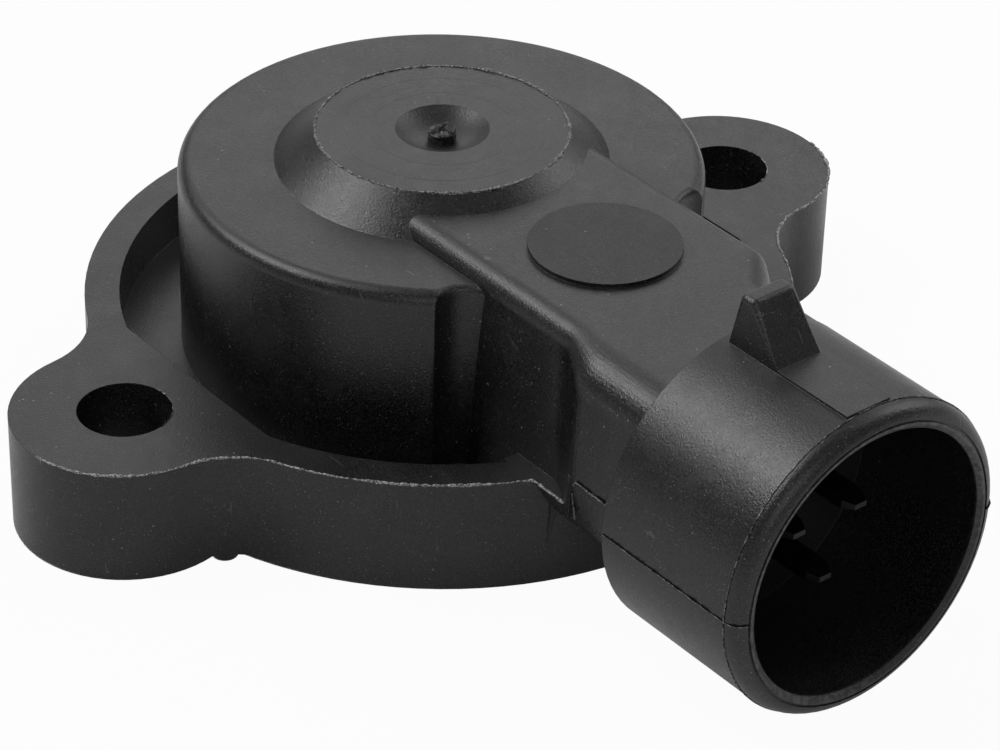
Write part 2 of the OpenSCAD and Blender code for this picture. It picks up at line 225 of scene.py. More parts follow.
    def along(self, value: object, scale: float) -> bpy.types.NodeSocket:
        """Adds fine noise along one value alone, such as a radius.

        Args:
            value: the value, in millimetres.
            scale: patterns to a millimetre.

        Returns:
            A value about 0.5.
        """
        node = self.nodes.new("ShaderNodeTexNoise")
        node.noise_dimensions = "1D"
        node.inputs["Scale"].default_value = scale
        node.inputs["Detail"].default_value = 3.0
        self.feed(node.inputs["W"], value)
        return node.outputs["Fac"]

    def reach(self, x: object, y: object, at: tuple) -> bpy.types.NodeSocket:
        """The distance from a point in a plane, in millimetres."""
        dx = self.sum("SUBTRACT", x, at[0])
        dy = self.sum("SUBTRACT", y, at[1])
        return self.sum("SQRT", self.sum("ADD", self.sum("MULTIPLY", dx, dx), self.sum("MULTIPLY", dy, dy)))


@dataclass(frozen=True)
class Marks:
    """Where the housing's own marks lie, in millimetres.

    Args:
        boss_radius: the radius of the boss's top.
        boss_top: the height of that top.
        socket: the x and z of the plug socket's axis.
        mouth: where the plug socket ends, as a y.
        seat: where its inside starts, as a y.
        turned: the radii of the two lines that turning left on the boss, each with half its width.
        boss_foot: the radius and the height at which the boss meets the cap.
        bore: the plug socket's inner radius.
        pad: the middle of the matt pad on the neck, as an x and a y.
        pad_radius: the pad's radius.
        pad_low: the height of the neck's top beside it.
    """

    boss_radius: float
    boss_top: float
    socket: tuple
    mouth: float
    seat: float
    turned: tuple = ((5.8, 0.09), (4.1, 0.07))
    boss_foot: tuple = (9.52, 15.43)
    bore: float = 7.8
    pad: tuple = (0.0, -14.35)
    pad_radius: float = 4.2
    pad_low: float = 16.55


@dataclass(frozen=True)
class BlackMoulding:
    """Glass-filled black plastic, satin on level faces and glossier on walls, with a trace of dust.

    Args:
        name: the material's name.
        colour: the plastic's own colour.
        dust: the colour of dust and of the fibres' ends.
        rough: the roughness of its walls.
        matt: how much rougher its level faces are.
        marks: where the marks lie that only the housing has.
        shine: the plastic's refractive index.
        soft: the rounding of its sharp edges, in millimetres.
        wave: the depth of its slow waviness, in millimetres.
        pits: the depth of its grain, in millimetres.
    """

    name: str
    colour: tuple = (0.0075, 0.0075, 0.008)
    dust: tuple = (0.26, 0.26, 0.255)
    rough: float = 0.25
    matt: float = 0.14
    marks: Marks | None = None
    shine: float = 1.55
    soft: float = 0.05
    wave: float = 0.02
    pits: float = 0.018

    def scratches(self, net: Net) -> bpy.types.NodeSocket:
        """Adds a few short thin scratches in two directions."""
        ways = ((9.0, 0.5, 0.5), (0.6, 0.5, 8.0))
        lines = [net.step(net.grain(1.0, 1.0, 0.5, stretch), 0.735, 0.76) for stretch in ways]
        sparse = net.step(net.grain(0.22, 1.0), 0.56, 0.64)
        return net.sum("MULTIPLY", net.sum("MAXIMUM", *lines), sparse)

    def ring(self, net: Net, radius: bpy.types.NodeSocket, at: float, half: float) -> bpy.types.NodeSocket:
        """A thin circle about an axis.

        Args:
            net: the material's nodes.
            radius: the distance from the axis.
            at: the circle's radius, in millimetres.
            half: half its width.

        Returns:
            1 on the circle and 0 elsewhere.
        """
        return net.step(net.sum("ABSOLUTE", net.sum("SUBTRACT", radius, at)), half, half * 0.2)

    def make(self) -> bpy.types.Material:
        """Makes the material."""
        net = Net(self.name)
        mottle = net.grain(0.3, 5.0, 0.6)
        cloud = net.grain(1.4, 3.0, 0.6)
        fine = net.grain(9.0, 2.0, 0.75)
        grit = net.grain(4.6, 2.0, 0.65)
        level = net.step(net.level, 0.7, 0.98)
        dust = net.sum("MULTIPLY", net.specks(1.5, 0.11), net.step(net.grain(0.45), 0.5, 0.64))
        fibre = net.sum("MULTIPLY", net.specks(5.0, 0.17), net.step(net.grain(1.1), 0.42, 0.66))
        haze = net.sum("MULTIPLY", net.step(mottle, 0.42, 0.8), 0.03)
        scratch = self.scratches(net)
        fibre = net.sum("MULTIPLY", fibre, net.sum("MULTIPLY_ADD", level, -0.35, 0.85))
        share = net.sum("MULTIPLY_ADD", dust, 0.6, fibre)
        share = net.sum("MULTIPLY_ADD", scratch, 0.22, net.sum("ADD", share, haze))
        rough = net.sum("MULTIPLY_ADD", level, self.matt, self.rough)
        rough = net.sum("MULTIPLY_ADD", net.sum("SUBTRACT", mottle, 0.5), 0.22, rough)
        rough = net.sum("MULTIPLY_ADD", net.sum("SUBTRACT", cloud, 0.5), 0.14, rough)
        height = net.sum("MULTIPLY_ADD", fine, 1.3, net.sum("MULTIPLY", grit, 0.45))
        under = net.soft_edges(self.soft)
        if self.marks:
            share, rough, under = self.add_marks(net, self.marks, share, rough, under)
        darker, paler = (tuple(c * times for c in self.colour) for times in (0.05, 2.6))
        speckle = net.blend(net.step(fine, 0.36, 0.66), darker, paler)
        net.feed(net.shader.inputs["Base Color"], net.blend(net.sum("ADD", share, 0.0, clamp=True), speckle, self.dust))
        net.feed(net.shader.inputs["Roughness"], rough)
        under = net.bump(net.grain(0.14, 2.0, 0.5), self.wave, under)
        net.feed(net.shader.inputs["Normal"], net.bump(height, self.pits, under))
        net.shader.inputs["IOR"].default_value = self.shine
        return net.material

    def add_marks(self, net: Net, marks: Marks, share: object, rough: object, under: object) -> tuple:
        """Adds the boss's turning marks, the matt pad, its scuffed top edge and a painted highlight at its foot, the
        rubbed rim of the plug socket with painted shade on its lower right, and painted shade inside the socket.

        Args:
            net: the material's nodes.
            marks: where they lie.
            share: the dust's share.
            rough: the roughness.
            under: the normal.

        Returns:
            The three of them with the marks.
        """
        x, y, z = net.axes()
        radius = net.reach(x, y, (0.0, 0.0))
        patchy = net.step(net.grain(0.5), 0.36, 0.62)
        top, rim = marks.boss_top, marks.boss_radius
        boss = net.sum("MULTIPLY", net.step(z, top - 0.3, top - 0.2), net.step(radius, rim + 0.13, rim - 0.02))
        rings = net.sum("MULTIPLY", net.sum("ADD", *(self.ring(net, radius, *line) for line in marks.turned)), 0.7)
        turned = net.sum("MULTIPLY", net.along(radius, 3.4), net.sum("MULTIPLY", patchy, 0.35))
        under = net.bump(net.sum("MULTIPLY", net.sum("ADD", rings, turned), boss), 0.012, under)
        edge = net.sum("MULTIPLY", self.ring(net, radius, rim, 0.12), net.step(z, top - 0.15, top - 0.05))
        foot_radius, foot_top = marks.boss_foot
        # The pale ring at the boss's foot is a painted highlight; the one at its top edge is scuffing.
        foot = net.sum("MULTIPLY", self.ring(net, radius, foot_radius, 0.07), self.ring(net, z, foot_top, 0.08))
        lip = net.reach(x, z, marks.socket)
        front = net.step(y, marks.mouth + 0.4, marks.mouth + 0.25)
        mouth = net.sum("MULTIPLY", front, net.step(lip, marks.bore + 0.5, marks.bore + 0.35))
        # Pale rubbed ring at the socket's mouth, kept to its top and left side: the rubbing is wear, and the dark lower
        # right is painted shade.
        rubbed_with_painted_shade = net.sum("MULTIPLY", mouth, net.step(net.sum("SUBTRACT", z, x), -2.0, 5.0))
        on_pad = net.step(net.reach(x, y, marks.pad), marks.pad_radius + 0.06, marks.pad_radius)
        pad = net.sum("MULTIPLY", on_pad, net.step(z, marks.pad_low, marks.pad_low + 0.07))
        # worn: the scuffed top edge and the painted highlight at the foot, paled with dust.
        worn = net.sum("MULTIPLY", net.sum("MAXIMUM", edge, foot), net.step(net.grain(2.4, 3.0), 0.4, 0.62))
        share = net.sum("MULTIPLY_ADD", worn, 0.14, share)
        granular = net.sum("MULTIPLY", net.step(net.grain(3.0), 0.3, 0.7), 0.3)
        share = net.sum("MULTIPLY_ADD", rubbed_with_painted_shade, granular, share)
        share = net.sum("MULTIPLY_ADD", boss, 0.025, share)
        # Less dust and fibre inside the plug socket, so its walls stay darker: painted shade in the recess.
        behind = net.step(y, marks.seat + 0.1, marks.seat - 0.4)
        inside = net.sum("MULTIPLY", behind, net.step(lip, marks.bore + 0.1, marks.bore - 0.1))
        share = net.sum("MULTIPLY", share, net.sum("MULTIPLY_ADD", inside, -0.9, 1.0))
        rough = net.sum("MULTIPLY_ADD", net.sum("MAXIMUM", pad, mouth), 0.14, rough)
        return share, rough, under


@dataclass(frozen=True)
class Moulding:
    """Plain moulded plastic with a fine grain.

    Args:
        name: the material's name.
        colour: the plastic's own colour.
        shade: the colour of its darker mottling.
        rough: the plastic's roughness.
    """

    name: str
    colour: tuple
    shade: tuple
    rough: float = 0.45

    def make(self) -> bpy.types.Material:
        """Makes the material."""
        net = Net(self.name)
        mottle = net.grain(0.5, 4.0, 0.6)
        fine = net.grain(8.0, 4.0, 0.6)
        net.feed(net.shader.inputs["Base Color"], net.blend(net.step(mottle, 0.35, 0.7), self.colour, self.shade))
        net.feed(net.shader.inputs["Roughness"], net.sum("MULTIPLY_ADD", mottle, 0.2, self.rough - 0.1))
        net.feed(net.shader.inputs["Normal"], net.bump(fine, 0.006, net.soft_edges(0.12)))
        return net.material


@dataclass(frozen=True)
class Rubber:
    """Moulded rubber with a satin skin and a trace of dust.

    Args:
        name: the material's name.
        colour: the rubber's own colour.
        bloom: the colour of the dust on its skin.
    """

    name: str
    colour: tuple
    bloom: tuple

    def make(self) -> bpy.types.Material:
        """Makes the material."""
        net = Net(self.name)
        bloom = net.sum("MULTIPLY", net.step(net.grain(0.8, 5.0, 0.65), 0.42, 0.8), 0.4)
        net.feed(net.shader.inputs["Base Color"], net.blend(bloom, self.colour, self.bloom))
        net.feed(net.shader.inputs["Roughness"], net.sum("MULTIPLY_ADD", net.grain(2.0), 0.25, 0.42))
        net.feed(net.shader.inputs["Normal"], net.bump(net.grain(7.0, 4.0), 0.008, net.soft_edges(0.1)))
        return net.material


@dataclass(frozen=True)
class StampedMetal:
    """Rolled and stamped strip, with fine lines along one axis.

    Args:
        name: the material's name.
        colour: the metal's colour.
        dull: the colour where it has dulled.
        rough: the metal's roughness.
        stretch: how the rolling lines lie, as a scale along each axis.
    """

    name: str
    colour: tuple
    dull: tuple
    rough: float = 0.3
    stretch: tuple = (1.0, 0.05, 1.0)

    def make(self) -> bpy.types.Material:
        """Makes the material."""
        net = Net(self.name)
        lines = net.grain(9.0, 3.0, 0.6, self.stretch)
        dulled = net.step(net.grain(0.9, 4.0), 0.4, 0.75)
        net.feed(net.shader.inputs["Base Color"], net.blend(dulled, self.colour, self.dull))
        net.shader.inputs["Metallic"].default_value = 1.0
        net.feed(net.shader.inputs["Roughness"], net.sum("MULTIPLY_ADD", lines, 0.25, self.rough - 0.1))
        net.feed(net.shader.inputs["Normal"], net.bump(lines, 0.004, net.soft_edges(0.06)))
        return net.material


@dataclass(frozen=True)
class PrintedFilm:
    """Amber film with two printed dark tracks and silvery end pads.

    Args:
        name: the material's name.
        tracks: the height of each track's middle, in millimetres.
        width: a track's width, in millimetres.
    """

    name: str
    tracks: tuple = (8.15, 10.85)
    width: float = 2.2

    def make(self) -> bpy.types.Material:
        """Makes the material."""
        net = Net(self.name)
        x, y, z = net.axes()
        film = net.blend(net.grain(0.8, 4.0), (0.36, 0.17, 0.03), (0.24, 0.10, 0.018))
        half = self.width / 2
        gaps = [net.sum("ABSOLUTE", net.sum("SUBTRACT", z, track)) for track in self.tracks]
        parts = [net.step(gap, half + 0.04, half - 0.04) for gap in gaps]
        track = net.sum("ADD", *parts, clamp=True)
        tail = net.step(y, -11.2, -11.5)
        ink = net.blend(net.grain(4.0), (0.012, 0.012, 0.013), (0.03, 0.03, 0.032))
        pad = net.blend(net.grain(3.0), (0.55, 0.54, 0.5), (0.42, 0.41, 0.38))
        colour = net.blend(track, film, net.blend(tail, ink, pad))
        net.feed(net.shader.inputs["Base Color"], colour)
        net.feed(net.shader.inputs["Roughness"], net.sum("MULTIPLY_ADD", track, 0.18, 0.3))
        net.feed(net.shader.inputs["Normal"], net.bump(net.sum("MULTIPLY_ADD", net.grain(5.0), 0.2, track), 0.012))
        return net.material


@dataclass(frozen=True)
class PorousDisc:
    """White pressed membrane.

    Args:
        name: the material's name.
    """

    name: str

    def make(self) -> bpy.types.Material:
        """Makes the material."""
        net = Net(self.name)
        pores = net.specks(7.0, 0.35)
        colour = net.blend(net.sum("MULTIPLY", pores, 0.5), (0.78, 0.78, 0.75), (0.45, 0.45, 0.43))
        net.feed(net.shader.inputs["Base Color"], colour)
        net.feed(net.shader.inputs["Roughness"], net.sum("MULTIPLY_ADD", net.grain(5.0), 0.15, 0.75))
        net.feed(net.shader.inputs["Normal"], net.bump(net.sum("SUBTRACT", net.grain(4.0), pores), 0.03))
        return net.material


def finish_piece(
    name: str, mesh: bmesh.types.BMesh, material: bpy.types.Material, body: Body, angle: float = 30.0
) -> bpy.types.Object:
    """Turns a bmesh into a piece that rides on a body.

    Args:
        name: the piece's name.
        mesh: its shape, in metres.
        material: its material.
        body: the body that it rides on.
        angle: edges sharper than this stay sharp, in degrees.

    Returns:
        The piece.
    """
    data = bpy.data.meshes.new(name)
    mesh.to_mesh(data)
    mesh.free()
    data.materials.append(material)
    data.polygons.foreach_set("use_smooth", [True] * len(data.polygons))
    data.set_sharp_from_angle(angle=math.radians(angle))
    piece = bpy.data.objects.new(name, data)
    bpy.context.scene.collection.objects.link(piece)
    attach(piece, body.value)
    log.info("%s: %d faces on %s", name, len(data.polygons), body.value)
    return piece


def dress_node(name: str, material: bpy.types.Material) -> None:
    """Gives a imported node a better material."""
    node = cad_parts[name]
    for slot in node.material_slots:
        slot.material = material
    log.info("%s: dressed with %s", name, material.name)


@dataclass
class Housing:
    """The black moulding, its flash, its parting lines and the broken gate.

    Args:
        hole_spacing: the distance between the screw holes.
        hole_radius: their radius.
        flange_radius: the flange's radius.
        ear_radius: the radius of an ear's end.
        web_radius: the radius of the hollow corner between an ear and the body.
        flange_top: the height of its top.
        socket_x: where the plug socket's axis lies.
        socket_z: the height of that axis, which is the parting line's too.
        tube_radius: the plug socket's outer radius.
        neck_half: half the neck's width.
        neck_step: where the neck's belly starts, as a distance along -Y.
        strip_half: how far the strips beside the neck reach from its middle.
        tube_back: where the tube starts, as a distance along -Y.
        tube_front: where the tube ends.
        rim_radius: the rounding of its rim.
        boss_radius: the radius of the boss's top.
        boss_top: the height of that top.
        gate_base: the height of the dimple's bottom.
        stub_radii: the radii of the gate's stub at its foot and at its top.
        stub_height: its height before it was broken.
        fin_step: how far apart the points of a fin are.
        fin_waves: what a fin swells by, as patterns to a millimetre and a share of its size.
        fin_loss: how much of a fin is rubbed off, as a share of its size.
    """

    hole_spacing: float = 44.0
    hole_radius: float = 2.65
    flange_radius: float = 20.5
    ear_radius: float = 6.4
    web_radius: float = 5.0
    flange_top: float = 6.9
    socket_x: float = -1.4
    socket_z: float = 9.15
    tube_radius: float = 9.15
    neck_half: float = 7.3
    neck_step: float = 22.2
    strip_half: float = 6.9
    tube_back: float = 27.0
    tube_front: float = 37.5
    rim_radius: float = 1.0
    boss_radius: float = 7.22
    boss_top: float = 17.2
    gate_base: float = 16.4
    stub_radii: tuple = (0.86, 0.74)
    stub_height: float = 0.9
    fin_step: float = 0.08
    fin_waves: tuple = ((0.45, 0.4), (2.3, 0.35), (5.7, 0.35))
    fin_loss: float = 0.12

    def arc(self, centre: tuple, radius: float, start: float, end: float, height: float) -> list:
        """Points along an arc.

        Args:
            centre: its centre's x and y, in millimetres.
            radius: its radius.
            start: its first angle, in degrees.
            end: its last angle.
            height: its height.

        Returns:
            The points.
        """
        steps = max(4, int(abs(math.radians(end - start)) * radius / self.fin_step))
        angles = [math.radians(start + (end - start) * i / steps) for i in range(steps + 1)]
        return [Vector((centre[0] + radius * math.cos(a), centre[1] + radius * math.sin(a), height)) for a in angles]

    def line(self, start: tuple, end: tuple) -> list:
        """Points along a straight line."""
        first, last = Vector(start), Vector(end)
        steps = max(4, int((last - first).length / self.fin_step))
        return [first.lerp(last, i / steps) for i in range(steps + 1)]

    def fin(self, name: str, path: list, size: float, material: bpy.types.Material) -> bpy.types.Object:
        """A fin of flash along an edge or a parting line.

        Args:
            name: the piece's name.
            path: the line's points, in millimetres.
            size: the fin's height and width.
            material: its material.

        Returns:
            The piece.
        """
        points = [p * MM for p, q in zip(path, [None, *path], strict=False) if q is None or (p - q).length > 0.02]
        runs = [b - a for a, b in zip(points, points[1:], strict=False)]
        mesh = bmesh.new()
        ring = bmesh.ops.create_circle(mesh, cap_ends=True, radius=size * 0.5 * MM, segments=6)["verts"]
        bmesh.ops.rotate(mesh, verts=ring, matrix=runs[0].to_track_quat("Z", "Y").to_matrix())
        bmesh.ops.translate(mesh, verts=ring, vec=points[0])
        mesh.faces.ensure_lookup_table()
        face = mesh.faces[0]
        for run, ahead, point in zip(runs, [*runs[1:], runs[-1]], points[1:], strict=True):
            made = bmesh.ops.extrude_face_region(mesh, geom=[face])
            verts = [g for g in made["geom"] if isinstance(g, bmesh.types.BMVert)]
            bmesh.ops.translate(mesh, verts=verts, vec=run)
            bmesh.ops.rotate(mesh, verts=verts, cent=point, matrix=run.rotation_difference(ahead).to_matrix())
            face = next(g for g in made["geom"] if isinstance(g, bmesh.types.BMFace))
        self.close(mesh)
        self.thin_out(mesh, size)
        return finish_piece(name, mesh, material, Body.SENSOR, 50.0)

    def close(self, mesh: bmesh.types.BMesh) -> None:
        """Merges a fin's seams, fills its ends and turns its faces outwards."""
        bmesh.ops.remove_doubles(mesh, verts=mesh.verts, dist=0.001 * MM)
        bmesh.ops.holes_fill(mesh, edges=[e for e in mesh.edges if e.is_boundary], sides=0)
        bmesh.ops.recalc_face_normals(mesh, faces=mesh.faces)

    def thin_out(self, mesh: bmesh.types.BMesh, size: float) -> None:
        """Lets a fin grow, shrink and fray along its length, so that it shows here and there.

        Args:
            mesh: the fin.
            size: its full size, in millimetres.
        """
        mesh.normal_update()
        moves = []
        for vert in mesh.verts:
            swell = sum(share * noise.noise(vert.co * (scale / MM)) for scale, share in self.fin_waves)
            moves.append(vert.normal * (size * MM * (swell - self.fin_loss)))
        for vert, move in zip(mesh.verts, moves, strict=True):
            vert.co += move

    def shake(self, place: Vector, scale: float) -> Vector:
        """A smooth irregular shift that is the same in each run.

        Args:
            place: the point that is shifted.
            scale: patterns to a millimetre.

        Returns:
            The shift, from -1 to 1 along each axis.
        """
        at = place * (scale / MM)
        return Vector([noise.noise(at + Vector((apart, 0.0, 0.0))) for apart in (0.0, 17.3, 41.9)])

    def gate_stub(self, material: bpy.types.Material) -> bpy.types.Object:
        """The gate's broken stub in the dimple."""
        mesh = bmesh.new()
        foot, tip = (radius * MM for radius in self.stub_radii)
        bmesh.ops.create_cone(
            mesh, cap_ends=True, segments=40, radius1=foot, radius2=tip, depth=self.stub_height * MM
        )
        bmesh.ops.translate(mesh, verts=mesh.verts, vec=(0.0, 0.0, (self.gate_base + 0.25) * MM))
        top = max(mesh.faces, key=lambda f: f.calc_center_median().z)
        for inset in (0.2, 0.2, 0.15):
            bmesh.ops.inset_region(mesh, faces=[top], thickness=inset * MM)
        bmesh.ops.triangulate(mesh, faces=[f for f in mesh.faces if len(f.verts) > 4])
        bmesh.ops.subdivide_edges(mesh, edges=mesh.edges, cuts=1, use_grid_fill=True)
        for vert in mesh.verts:
            high = max(0.0, vert.co.z / MM - self.gate_base)
            shift = self.shake(vert.co, 2.2) * 0.16 + self.shake(vert.co, 6.0) * 0.07
            vert.co += Vector((shift.x, shift.y, shift.z * 3.4 * high - 0.1 * high)) * MM
        bmesh.ops.recalc_face_normals(mesh, faces=mesh.faces)
        return finish_piece("gate_stub", mesh, material, Body.SENSOR, 35.0)

    def flange_line(self, side: int) -> list:
        """The front top edge of the flange, from an ear's tip over the web to the strip beside the neck.

        Args:
            side: -1 for the left ear and 1 for the right one.

        Returns:
            The line's points.
        """
        hole = self.hole_spacing / 2
        far, near = self.flange_radius + self.web_radius, self.ear_radius + self.web_radius
        x = (hole * hole + far * far - near * near) / (2 * hole)
        y = math.sqrt(far * far - x * x)
        at_ear = math.degrees(math.atan2(-y, x - hole))
        at_body = math.degrees(math.atan2(-y, x))
        at_strip = -math.degrees(math.acos(side * self.strip_side(side) / self.flange_radius))
        top = self.flange_top
        points = self.arc((hole, 0.0), self.ear_radius, -8.0, at_ear, top)
        points += self.arc((x, -y), self.web_radius, at_ear + 180.0, at_body + 180.0, top)
        points += self.arc((0.0, 0.0), self.flange_radius, at_body, at_strip, top)
        return [Vector((side * p.x, p.y, p.z)) for p in points]

    def strip_side(self, side: int) -> float:
        """Where the strip beside the neck has its edge, as a distance along X."""
        return self.socket_x + side * self.strip_half

    def strip_line(self, side: int) -> list:
        """The edge of that strip, from the flange to the neck's step.

        Args:
            side: -1 for the left strip and 1 for the right one.

        Returns:
            The line's points.
        """
        x, neck, top = self.strip_side(side), self.socket_x + side * self.neck_half, self.flange_top
        start = -math.sqrt(self.flange_radius**2 - x * x)
        bend = (x + side * 0.02, -self.neck_step + 0.55, top - 0.05)
        end = (neck - side * 0.05, -self.neck_step + 0.02, top + 0.1)
        return self.line((x, start, top), bend) + self.line(bend, end)[1:]

    def belly_line(self, side: int) -> list:
        """The edge of the neck's belly at its step, up to the parting line and along it to the tube.

        Args:
            side: -1 for the left edge and 1 for the right one.

        Returns:
            The line's points.
        """
        x, y, z = self.socket_x + side * self.neck_half, -self.neck_step, self.socket_z - 0.15
        foot, waist = (x - side * 0.45, y, self.flange_top - 0.6), (x - side * 0.08, y, z - 0.5)
        turn = (x, y - 0.45, z + 0.08)
        return self.line(foot, waist) + self.line(waist, turn)[1:] + self.line(turn, (x, -self.tube_back, z))[1:]

    def belly_parting(self, side: int) -> list:
        """The dark line just above the neck's parting line."""
        x, z = self.socket_x + side * self.neck_half, self.socket_z
        return self.line((x, -self.neck_step - 0.6, z + 0.1), (x, -self.tube_back, z))

    def tube_line(self, side: int, drop: float) -> list:
        """The parting line of the plug socket, along its wall and over the rim.

        Args:
            side: -1 for the left line and 1 for the right one.
            drop: how far below the socket's axis it runs.

        Returns:
            The line's points.
        """
        z = self.socket_z - drop
        turn = self.tube_front - self.rim_radius
        wall = self.line((self.tube_radius, -self.tube_back - 0.1, z), (self.tube_radius, -turn, z))
        rim = self.arc((self.tube_radius - self.rim_radius, -turn), self.rim_radius, 0.0, -80.0, z)
        return [Vector((self.socket_x + side * p.x, p.y, p.z)) for p in wall + rim[1:]]

    def rim_line(self, radius: float, along: float) -> list:
        """A circle about the socket's axis, open where the socket rests on the floor.

        Args:
            radius: its radius.
            along: its place, as a distance along -Y.

        Returns:
            The line's points.
        """
        flat = self.arc((0.0, 0.0), radius, -82.0, 262.0, 0.0)
        return [Vector((self.socket_x + p.x, -along, self.socket_z + p.y)) for p in flat]

    def build(self) -> None:
        """Makes and dresses every piece of the housing."""
        socket = (self.socket_x, self.socket_z)
        marks = Marks(self.boss_radius, self.boss_top, socket, -self.tube_front, -self.tube_back)
        plastic = BlackMoulding("black_moulding", marks=marks).make()
        torn = BlackMoulding("torn_plastic", (0.005, 0.005, 0.005), rough=0.4).make()
        pale = BlackMoulding("flash_plastic", (0.2, 0.2, 0.195), (0.5, 0.5, 0.49), 0.5).make()
        worn = BlackMoulding("worn_plastic", (0.13, 0.13, 0.127), (0.4, 0.4, 0.39), 0.45).make()
        dark = BlackMoulding("parting_plastic", (0.004, 0.004, 0.004), (0.1, 0.1, 0.1), 0.6, shine=1.15).make()
        dress_node("housing", plastic)
        self.gate_stub(torn)
        for side, label in ((-1, "left"), (1, "right")):
            hole = (side * self.hole_spacing / 2, 0.0)
            for name, path, size, material in (
                ("flange_flash", self.flange_line(side), 0.18, pale),
                ("strip_flash", self.strip_line(side), 0.13, pale),
                ("belly_flash", self.belly_line(side), 0.12, worn),
                ("belly_parting", self.belly_parting(side), 0.16, dark),
                ("tube_parting", self.tube_line(side, 0.02), 0.12, dark),
                ("tube_flash", self.tube_line(side, 0.11), 0.07, worn),
                ("hole_flash", self.arc(hole, self.hole_radius, -75.0, 15.0, self.flange_top), 0.12, pale),
            ):
                self.fin(f"{name}_{label}", path, size, material)
        self.fin("boss_flash", self.arc((0.0, 0.0), self.boss_radius, 0.0, 360.0, self.boss_top), 0.19, worn)
        self.fin("rim_flash", self.rim_line(self.tube_radius, self.tube_front - self.rim_radius), 0.12, worn)


@dataclass
class Terminals:
    """The three stamped terminals."""

    nodes: tuple = ("terminal_a", "terminal_b", "terminal_c")

    def build(self) -> None:
        """Dresses the terminals in a metal darkened to near black, as painted shade of the plug socket's inside."""
        # Near-black metal is painted shade of the socket, not the tinned strip's own colour.
        socket_shaded_tin = StampedMetal("socket_shaded_strip", (0.05, 0.049, 0.047), (0.025, 0.0245, 0.0235), 0.42).make()
        for node in self.nodes:
            dress_node(node, socket_shaded_tin)


@dataclass
class Track:
    """The film on the bore and the wedge that presses its tail."""

    def build(self) -> None:
        """Dresses the film and the wedge."""
        dress_node("resistor_film", PrintedFilm("printed_film").make())
        dress_node("film_wedge", Moulding("natural_wedge", (0.62, 0.58, 0.46), (0.50, 0.46, 0.35)).make())


@dataclass
class Closure:
    """What closes the housing from behind."""

    def build(self) -> None:
        """Dresses the cover, its gasket, the seals and the vent."""
        dress_node("rear_cover", BlackMoulding("cover_moulding", colour=(0.022, 0.022, 0.024), rough=0.46).make())
        dress_node("cover_gasket", Rubber("gasket_rubber", (0.02, 0.02, 0.021), (0.09, 0.09, 0.088)).make())
        dress_node("rotor_seal", Rubber("silicone_seal", (0.20, 0.035, 0.018), (0.33, 0.12, 0.09)).make())
        dress_node("mounting_seal", Rubber("ring_rubber", (0.014, 0.014, 0.015), (0.07, 0.07, 0.07)).make())
        dress_node("vent_filter", PorousDisc("vent_membrane").make())


@dataclass
class Rotor:
    """The turning pieces."""

    def build(self) -> None:
        """Dresses the rotor, its wiper contacts and the shaft's leaf clip."""
        dress_node("rotor", Moulding("natural_moulding", (0.60, 0.57, 0.47), (0.52, 0.49, 0.39), 0.4).make())
        dress_node("contactor", StampedMetal("wiper_alloy", (0.78, 0.66, 0.40), (0.60, 0.50, 0.30), 0.22).make())
        upright = (1.0, 1.0, 0.05)
        steel = StampedMetal("clip_steel", (0.50, 0.50, 0.52), (0.34, 0.34, 0.36), 0.28, upright)
        dress_node("shaft_clip", steel.make())


@dataclass(frozen=True)
class Lamp:
    """A soft rectangular light.

    Args:
        name: its name.
        place: its middle, in metres.
        size: its width and height, in metres.
        radiance: its brightness, where 1 looks white.
    """

    name: str
    place: tuple
    size: tuple
    radiance: float


